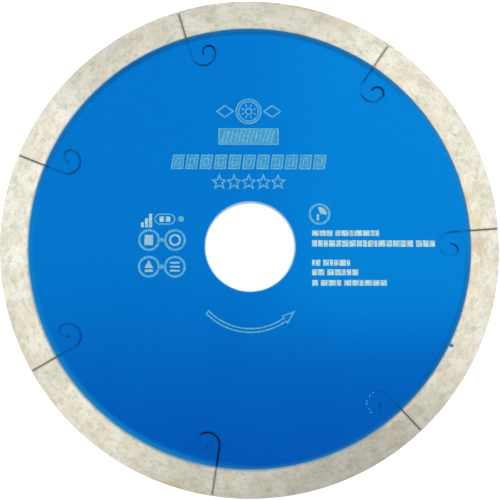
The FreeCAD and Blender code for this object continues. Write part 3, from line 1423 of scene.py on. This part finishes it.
class RaisedFilm:
    """Gathers flat shapes, and makes one thin closed film of them on a face."""

    def __init__(self, base: float, thickness: float) -> None:
        """Starts an empty film.

        Args:
            base: Height of the face it lies on.
            thickness: Its thickness.
        """
        self.heights = (base, base + thickness)
        self.points: list[Triple] = []
        self.faces: list[list[int]] = []

    def level(self, outline: list[Point], height: float) -> list[int]:
        """Adds an outline's points at a height.

        Args:
            outline: The outline.
            height: The height.

        Returns:
            The points' numbers.
        """
        first = len(self.points)
        self.points += [(x, y, height) for x, y in outline]
        return list(range(first, len(self.points)))

    def wall(self, lower: list[int], upper: list[int]) -> None:
        """Joins two outlines with a wall, facing out where they run anticlockwise.

        Args:
            lower: Numbers of the lower outline's points.
            upper: Numbers of the upper outline's points.
        """
        for near in range(len(lower)):
            far = (near + 1) % len(lower)
            self.faces.append([lower[near], lower[far], upper[far], upper[near]])

    def patch(self, outline: list[Point]) -> None:
        """Adds a filled shape.

        Args:
            outline: Its points, anticlockwise.
        """
        bottom, top = (self.level(outline, height) for height in self.heights)
        self.faces += [top, bottom[::-1]]
        self.wall(bottom, top)

    def band(self, outer: list[Point], inner: list[Point]) -> None:
        """Adds the band between two outlines that have as many points.

        Args:
            outer: The outer outline, anticlockwise.
            inner: The inner one, anticlockwise too.
        """
        low_outer, top_outer = (self.level(outer, height) for height in self.heights)
        low_inner, top_inner = (self.level(inner, height) for height in self.heights)
        self.wall(low_outer, top_outer)
        self.wall(top_inner, low_inner)
        self.wall(top_outer, top_inner)
        self.wall(low_inner, low_outer)

    def line(self, outline: list[Point], width: float) -> None:
        """Adds a line of even width along a closed, anticlockwise outline."""
        self.band(widened(outline, width / 2), widened(outline, -width / 2))

    def piece(self, name: str, material: bpy.types.Material) -> bpy.types.Object:
        """Makes the film's object."""
        return finish_mesh(name, self.points, self.faces, material)


@dataclass(frozen=True)
class FrontPrint:
    """Print of the front face, in plain shapes. Places are millimetres from the bore's centre."""

    sizes: DiscSizes
    field_ink: bpy.types.Material
    outline_ink: bpy.types.Material
    mark_ink: bpy.types.Material
    solid_ink: bpy.types.Material
    field_thickness: float = 0.012 * MM
    thickness: float = 0.02 * MM
    line_width: float = 0.34
    ring_width: float = 0.56
    emblem_middle: Point = (-0.4, 34.2)
    emblem_radii: tuple[float, ...] = (3.1, 2.48, 0.75)
    tick_count: int = 8
    tick_radii: Point = (1.15, 1.95)
    lozenge_reach: Point = (3.9, 8.0)
    lozenge_half: float = 1.5
    bar_box: Box = (-8.0, 7.2, 25.7, 29.9)
    stripe_count: int = 13
    stripe_inset: float = 0.55
    stripe_width: float = 0.68
    stripe_slant: float = 0.9
    stripe_margin: float = 1.9
    band_box: Box = (-19.9, 19.3, 19.5, 23.2)
    band_blocks: int = 11
    block_gap: float = 0.55
    block_slant: float = 0.5
    block_inset: float = 0.95
    star_middles: tuple[float, ...] = (-7.75, -4.06, -0.37, 3.32, 7.01)
    star_height: float = 16.2
    star_radii: Point = (1.8, 0.78)
    ring_radius: float = 2.45
    ring_columns: Point = (-25.3, -18.8)
    ring_rows: Point = (1.6, -5.1)
    dial_middle: Point = (17.4, 8.2)
    pill_box: Box = (-23.8, -18.9, 5.6, 8.1)
    dot_middle: Point = (-17.3, 6.9)
    level_boxes: tuple[Box, ...] = (
        (-27.3, -26.55, 4.8, 6.0),
        (-26.3, -25.55, 4.8, 7.1),
        (-25.3, -24.55, 4.8, 8.2),
        (-22.7, -21.6, 6.2, 7.5),
        (-21.1, -20.0, 6.2, 7.5),
    )
    dash_widths: Point = (0.7, 1.9)
    dash_gaps: tuple[float, ...] = (0.22, 0.26, 0.75)
    dash_gap_odds: tuple[float, ...] = (0.45, 0.4, 0.15)
    dash_boxes: tuple[Box, ...] = (
        (15.5, 32.3, 2.7, 4.1),
        (15.5, 46.3, 0.0, 1.6),
        (15.5, 25.0, -4.8, -3.3),
        (15.5, 27.2, -7.2, -5.7),
        (15.5, 34.5, -9.8, -8.4),
    )
    arrow_middle: Point = (0.1, -6.1)
    arrow_radius: float = 14.9
    arrow_half: float = 0.45
    arrow_barb: float = 0.6
    arrow_angles: tuple[float, ...] = (-136.0, -54.5, -43.5)

    def film(self) -> RaisedFilm:
        """Starts a film on the front face, measured in millimetres."""
        return RaisedFilm(self.sizes.half_core / MM, self.thickness / MM)

    def blocks(self) -> list[list[Point]]:
        """Outlines of the slanted blocks in the long band.

        Returns:
            The outlines.
        """
        left, right, low, high = self.band_box
        pitch = (right - left) / self.band_blocks
        feet = [left + number * pitch for number in range(self.band_blocks)]
        return [box_outline(foot, foot + pitch - self.block_gap, low, high, self.block_slant)
                for foot in feet]

    def fields(self) -> RaisedFilm:
        """Thin fields of ink under the bar and the blocks.

        Returns:
            The film.
        """
        film = RaisedFilm(self.sizes.half_core / MM, self.field_thickness / MM)
        film.patch(widened(box_outline(*self.bar_box), -self.line_width / 2))
        for block in self.blocks():
            film.patch(widened(block, -self.line_width / 2))
        return film

    def build(self) -> list[bpy.types.Object]:
        """Makes each group of the print.

        Returns:
            The pieces.
        """
        groups = (
            ("print_fields", self.fields(), self.field_ink),
            ("print_emblem", self.emblem(), self.outline_ink),
            ("print_hatched_bar", self.hatched_bar(), self.outline_ink),
            ("print_block_band", self.block_band(), self.outline_ink),
            ("print_stars", self.stars(), self.outline_ink),
            ("print_rings", self.rings(), self.outline_ink),
            ("print_ring_fills", self.ring_fills(), self.mark_ink),
            ("print_level_bars", self.level_bars(), self.solid_ink),
            ("print_small_rows", self.small_rows(), self.solid_ink),
            ("print_turn_arrow", self.turn_arrow(), self.outline_ink),
        )
        pieces = []
        for name, film, ink in groups:
            film.points = [tuple(MM * part for part in point) for point in film.points]
            pieces.append(join_disc(film.piece(name, ink)))
        return pieces

    def emblem(self) -> RaisedFilm:
        """Plain dial: two rings, short ticks and a hub, with a lozenge at each side.

        Returns:
            The film.
        """
        film = self.film()
        middle = self.emblem_middle
        for radius in self.emblem_radii:
            film.line(circle(middle, radius), self.line_width)
        for number in range(self.tick_count):
            turn = math.tau * (number + 0.5) / self.tick_count
            inner, outer = (polar(middle, radius, turn) for radius in self.tick_radii)
            film.patch(self.stroke(inner, outer, self.line_width))
        for side in (-1, 1):
            near, far = (middle[0] + side * reach for reach in self.lozenge_reach)
            half = side * self.lozenge_half
            tips = [(near, middle[1]), ((near + far) / 2, middle[1] - half),
                    (far, middle[1]), ((near + far) / 2, middle[1] + half)]
            film.line(tips, self.line_width)
        return film

    def hatched_bar(self) -> RaisedFilm:
        """Framed bar of slanted stripes.

        Returns:
            The film.
        """
        film = self.film()
        left, right, low, high = self.bar_box
        film.line(widened(box_outline(*self.bar_box), -self.line_width / 2), self.line_width)
        low, high = low + self.stripe_inset, high - self.stripe_inset
        pitch = (right - left - self.stripe_margin) / self.stripe_count
        for number in range(self.stripe_count):
            foot = left + self.stripe_inset + number * pitch
            film.patch(box_outline(foot, foot + self.stripe_width, low, high, self.stripe_slant))
        return film

    def block_band(self) -> RaisedFilm:
        """Row of slanted blocks, one outline inside another.

        Returns:
            The film.
        """
        film = self.film()
        for block in self.blocks():
            film.line(widened(block, -self.line_width / 2), self.line_width)
            film.line(widened(block, -self.block_inset), self.line_width)
        return film

    def stars(self) -> RaisedFilm:
        """Five outlined stars.

        Returns:
            The film.
        """
        film = self.film()
        for middle in self.star_middles:
            points = [
                polar((middle, self.star_height), self.star_radii[number % 2],
                      math.pi / 2 + math.tau * number / 10)
                for number in range(10)
            ]
            film.line(points, self.line_width)
        return film

    def rings(self) -> RaisedFilm:
        """Rings of the small marks, the bars that link them, the pill and the arrow's dial.

        Returns:
            The film.
        """
        film = self.film()
        for row in self.ring_rows:
            for column in self.ring_columns:
                film.line(circle((column, row), self.ring_radius), self.ring_width)
            link = sum(self.ring_columns) / 2
            film.patch(box_outline(link - 0.4, link + 0.4, row - 0.5, row + 0.5))
        film.line(circle(self.dial_middle, self.ring_radius), self.ring_width)
        film.line(self.pill(*self.pill_box), self.line_width)
        film.patch(circle(self.dot_middle, 0.75, 24))
        return film

    def ring_fills(self) -> RaisedFilm:
        """What the rings hold: a block, a small ring, a triangle, three bars and a wedge.

        Returns:
            The film.
        """
        film = self.film()
        left, right = self.ring_columns
        high, low = self.ring_rows
        film.patch(box_outline(left - 1.1, left + 1.0, high - 1.3, high + 1.3))
        film.line(circle((right, high), 1.25, 32), 0.5)
        film.patch([(left - 1.1, low - 0.3), (left + 1.1, low - 0.3), (left, low + 1.7)])
        film.patch(box_outline(left - 1.0, left + 1.0, low - 1.3, low - 0.7))
        for level in (-1.0, 0.0, 1.0):
            film.patch(box_outline(right - 1.2, right + 1.2, low + level - 0.22, low + level + 0.22))
        film.patch([(17.5, 8.3)] + arc((17.5, 8.3), 1.65, -0.2, 1.9, 14))
        film.patch(box_outline(16.7, 17.3, 6.6, 8.1))
        return film

    def level_bars(self) -> RaisedFilm:
        """Three rising bars, and the two blocks in the pill beside them.

        Returns:
            The film.
        """
        film = self.film()
        for box in self.level_boxes:
            film.patch(box_outline(*box))
        return film

    def small_rows(self) -> RaisedFilm:
        """Rows of short upright dashes beside the bore.

        Returns:
            The film.
        """
        film = self.film()
        chance = np.random.default_rng(21)
        for foot, end, low, high in self.dash_boxes:
            while foot < end - 0.5:
                wide = min(chance.uniform(*self.dash_widths), end - foot)
                film.patch(box_outline(foot, foot + wide, low, high))
                foot += wide + chance.choice(self.dash_gaps, p=self.dash_gap_odds)
        return film

    def turn_arrow(self) -> RaisedFilm:
        """Outlined arrow under the bore that shows which way the disc turns.

        Returns:
            The film.
        """
        film = self.film()
        start, neck, tip = (math.radians(angle) for angle in self.arrow_angles)
        outer, inner = self.arrow_radius + self.arrow_half, self.arrow_radius - self.arrow_half
        outline = arc(self.arrow_middle, outer, start, neck, 60)
        for radius, angle in ((outer + self.arrow_barb, neck), (self.arrow_radius, tip),
                              (inner - self.arrow_barb, neck)):
            outline.append(polar(self.arrow_middle, radius, angle))
        outline += arc(self.arrow_middle, inner, neck, start, 60)
        film.line(outline, self.line_width)
        return film

    @staticmethod
    def stroke(start: Point, end: Point, width: float) -> list[Point]:
        """Outline of a short straight line with square ends.

        Args:
            start: Its first end.
            end: Its other end.
            width: Its width.

        Returns:
            The corners, anticlockwise.
        """
        run, rise = end[0] - start[0], end[1] - start[1]
        scale = width / 2 / math.hypot(run, rise)
        aside = (-rise * scale, run * scale)
        return [(start[0] - aside[0], start[1] - aside[1]), (end[0] - aside[0], end[1] - aside[1]),
                (end[0] + aside[0], end[1] + aside[1]), (start[0] + aside[0], start[1] + aside[1])]

    @staticmethod
    def pill(left: float, right: float, low: float, high: float) -> list[Point]:
        """Outline of a lying pill.

        Args:
            left: Its left end.
            right: Its right end.
            low: Its lower side.
            high: Its upper side.

        Returns:
            The points, anticlockwise.
        """
        radius, level = (high - low) / 2, (high + low) / 2
        return (arc((right - radius, level), radius, -math.pi / 2, math.pi / 2, 14)
                + arc((left + radius, level), radius, math.pi / 2, 3 * math.pi / 2, 14))


@dataclass(frozen=True)
class SteelCore:
    """The core, which keeps its CAD form and takes the enamel."""

    enamel: bpy.types.Material

    def dress(self) -> list[bpy.types.Object]:
        """Puts the enamel on the core.

        Returns:
            The core's own object.
        """
        core = frame["nodes"]["steel_core"]
        core.data.materials.clear()
        core.data.materials.append(self.enamel)
        return [core]


@dataclass(frozen=True)
class SoftLamp:
    """Square studio lamp that looks at the disc."""

    name: str
    place: Triple
    size: float
    power: float

    def build(self) -> bpy.types.Object:
        """Makes the lamp.

        Returns:
            Its object.
        """
        light = bpy.data.lights.new(self.name, "AREA")
        light.size = self.size
        light.energy = self.power
        lamp = bpy.data.objects.new(self.name, light)
        lamp.location = self.place
        lamp.rotation_euler = (-Vector(self.place)).to_track_quat("-Z", "Y").to_euler()
        bpy.context.scene.collection.objects.link(lamp)
        return lamp


@dataclass(frozen=True)
class Studio:
    """Pale floor, soft lamps, plain surroundings and the camera."""

    sizes: DiscSizes
    camera_distance: float = 412.5 * MM
    camera_tilt: float = math.radians(5.31)
    camera_sway: float = math.radians(0.87)
    focal_length: float = 118.55
    sensor_width: float = 36.0
    frame_shift: Point = (-0.00024, -0.00654)
    floor_reach: float = 3.0
    floor_white: float = 0.8
    floor_glow: float = 0.68
    under_glow: float = 0.18
    horizon: float = 1.0
    zenith: float = 0.12
    ambient: float = 0.276

    def lamps(self) -> tuple[SoftLamp, ...]:
        """The lamps: a key at the upper right, and weaker ones at the upper left and below.

        Returns:
            The lamps.
        """
        return (
            SoftLamp("key_lamp", (0.62, 0.60, 0.71), 0.62, 9.3),
            SoftLamp("left_lamp", (-1.00, 0.40, 0.90), 0.90, 8.4),
            SoftLamp("front_lamp", (0.10, -1.40, 1.00), 0.90, 5.6),
        )

    def build(self) -> None:
        """Sets up the whole studio."""
        self.aim_camera()
        for lamp in self.lamps():
            lamp.build()
        self.lay_floor()
        self.surround()
        bpy.context.scene.view_settings.view_transform = "Standard"

    def aim_camera(self) -> None:
        """Places the camera almost straight above the disc, leaning towards its lower edge."""
        data = bpy.data.cameras.new("camera")
        data.lens = self.focal_length
        data.sensor_width = self.sensor_width
        data.shift_x, data.shift_y = self.frame_shift
        camera = bpy.data.objects.new("camera", data)
        lean = Matrix.Rotation(-self.camera_sway, 4, "Y") @ Matrix.Rotation(self.camera_tilt, 4, "X")
        camera.matrix_world = lean @ Matrix.Translation((0.0, 0.0, self.camera_distance))
        bpy.context.scene.collection.objects.link(camera)
        bpy.context.scene.camera = camera

    def lay_floor(self) -> None:
        """Makes the floor just under the rim. It looks white to the eye, and dark under the disc."""
        material, graph = NodeGraph.of_material("studio_floor")
        spot = DiscPlace(graph)
        bore, disc = self.sizes.bore_radius / MM, self.sizes.disc_radius / MM
        inside = graph.span(spot.radius, bore - 0.5, bore + 0.2, 1.0, 0.0)
        beyond = graph.span(spot.radius, disc - 0.3, disc + 0.3)
        rays = graph.node("ShaderNodeLightPath").outputs
        # Under the disc the floor keeps a faint camera glow: painted light seen through the slots.
        seen = graph.math("ADD", graph.math("ADD", inside, beyond), self.under_glow)
        seen = graph.math("MULTIPLY", seen, rays["Is Camera Ray"])
        grain = graph.span(graph.noise(spot.place, 3.0), 0.3, 0.7, 0.0, 0.02)
        shade = (self.floor_white * 0.9,) * 3
        paper = graph.fed(graph.node("ShaderNodeBsdfDiffuse"),
                          Color=graph.mix(grain, (self.floor_white,) * 3, shade))
        glow = graph.fed(graph.node("ShaderNodeEmission"),
                         Strength=graph.math("MULTIPLY", seen, self.floor_glow))
        both = graph.node("ShaderNodeAddShader")
        graph.feed(both.inputs[0], paper[0])
        graph.feed(both.inputs[1], glow[0])
        graph.show(both.outputs[0])
        height = -self.sizes.half_rim
        outline = [(x, y, height) for x, y in circle((0.0, 0.0), self.floor_reach)]
        floor = finish_mesh("studio_floor", outline, [list(range(len(outline)))], material)

    def surround(self) -> None:
        """Makes the surroundings white at the horizon and dimmer overhead, and soft light."""
        world = bpy.data.worlds.new("studio")
        bpy.context.scene.world = world
        world.use_nodes = True
        graph = NodeGraph(world.node_tree)
        upward = graph.split(graph.node("ShaderNodeTexCoord").outputs["Generated"])[2]
        backdrop = graph.span(upward, 0.35, 0.85, self.horizon, self.zenith)
        rays = graph.node("ShaderNodeLightPath").outputs
        mirrored = graph.math("MAXIMUM", rays["Is Glossy Ray"], rays["Is Transmission Ray"])
        seen = graph.math("MAXIMUM", rays["Is Camera Ray"], mirrored)
        shown = graph.math("MULTIPLY", backdrop, seen)
        unseen = graph.math("MULTIPLY", graph.math("SUBTRACT", 1.0, seen), self.ambient)
        light = graph.fed(graph.node("ShaderNodeBackground"), Color=(1.0, 1.0, 1.0),
                          Strength=graph.math("ADD", shown, unseen))
        graph.fed(graph.node("ShaderNodeOutputWorld"), Surface=light[0])


def main() -> None:
    """Builds the studio and every sub-assembly in turn, and reports each piece."""
    logging.basicConfig(level=logging.INFO, format="%(message)s")
    sizes = DiscSizes.from_frame()
    Studio(sizes).build()
    field_ink = PrintInk("field_ink", (0.04, 0.30, 0.56), (0.012, 0.23, 0.55))
    outline_ink = PrintInk("outline_ink", (0.135, 0.45, 0.60), (0.05, 0.32, 0.56))
    mark_ink = PrintInk("mark_ink", (0.36, 0.57, 0.62), (0.18, 0.45, 0.58))
    solid_ink = PrintInk("solid_ink", (0.56, 0.71, 0.70), (0.19, 0.48, 0.59))
    enamel = BlueEnamel(sizes)
    coat = enamel.material()
    pieces = SteelCore(coat).dress()
    pieces += RimSegments(sizes, SinteredRim(sizes).material(),
                          DiamondGritFinish().material()).build()
    pieces += SlotPaint(sizes, coat, RidgeHighlightPaint(enamel).material()).build()
    pieces += FrontPrint(sizes, field_ink.material(), outline_ink.material(),
                         mark_ink.material(), solid_ink.material()).build()
    for piece in pieces:
        LOG.info("%s: %d faces", piece.name, len(piece.data.polygons))


if __name__ == "__main__":
    main()
